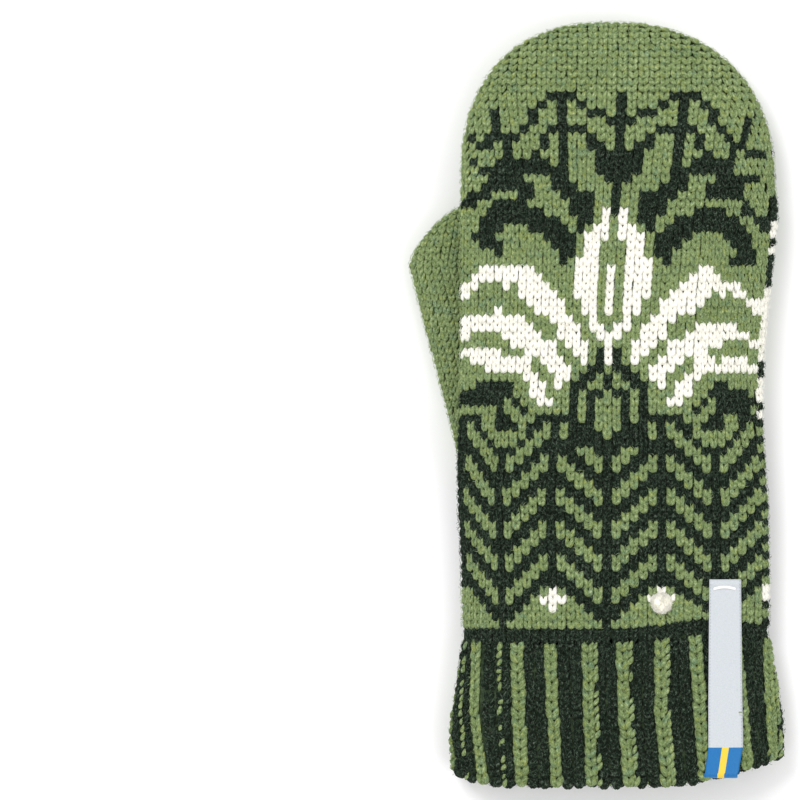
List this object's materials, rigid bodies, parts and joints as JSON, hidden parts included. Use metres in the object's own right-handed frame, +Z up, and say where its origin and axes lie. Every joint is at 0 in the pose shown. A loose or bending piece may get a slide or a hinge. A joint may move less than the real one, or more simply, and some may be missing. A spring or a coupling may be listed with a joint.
{
  "type": "knitted mitten",
  "caption": "Knitted wool mitten lying palm down: hollow patterned hand with a closed round top, side thumb, two-colour ribbed cuff and a plain sewn ribbon label.",
  "frame": {"origin": "on the floor under the middle of the palm, where the mitten rests", "axes": "+Y towards the fingertips, +X away from the thumb, +Z up out of the back of the hand"},
  "size_m": [0.1366, 0.275, 0.0241],
  "materials": {
    "green_wool": "heathered knitted wool",
    "dark_wool": "knitted wool",
    "patterned_wool": "stranded knitted wool in green, dark green and cream",
    "label_ribbon": "smooth woven ribbon",
    "label_thread": "sewing thread"
  },
  "bodies": {
    "root": {"cuff": "green_wool", "wrist_band": "dark_wool", "hand": "patterned_wool", "crown": "green_wool", "thumb": "green_wool", "label": "label_ribbon", "label_tack": "label_thread"}
  },
  "joints": []
}
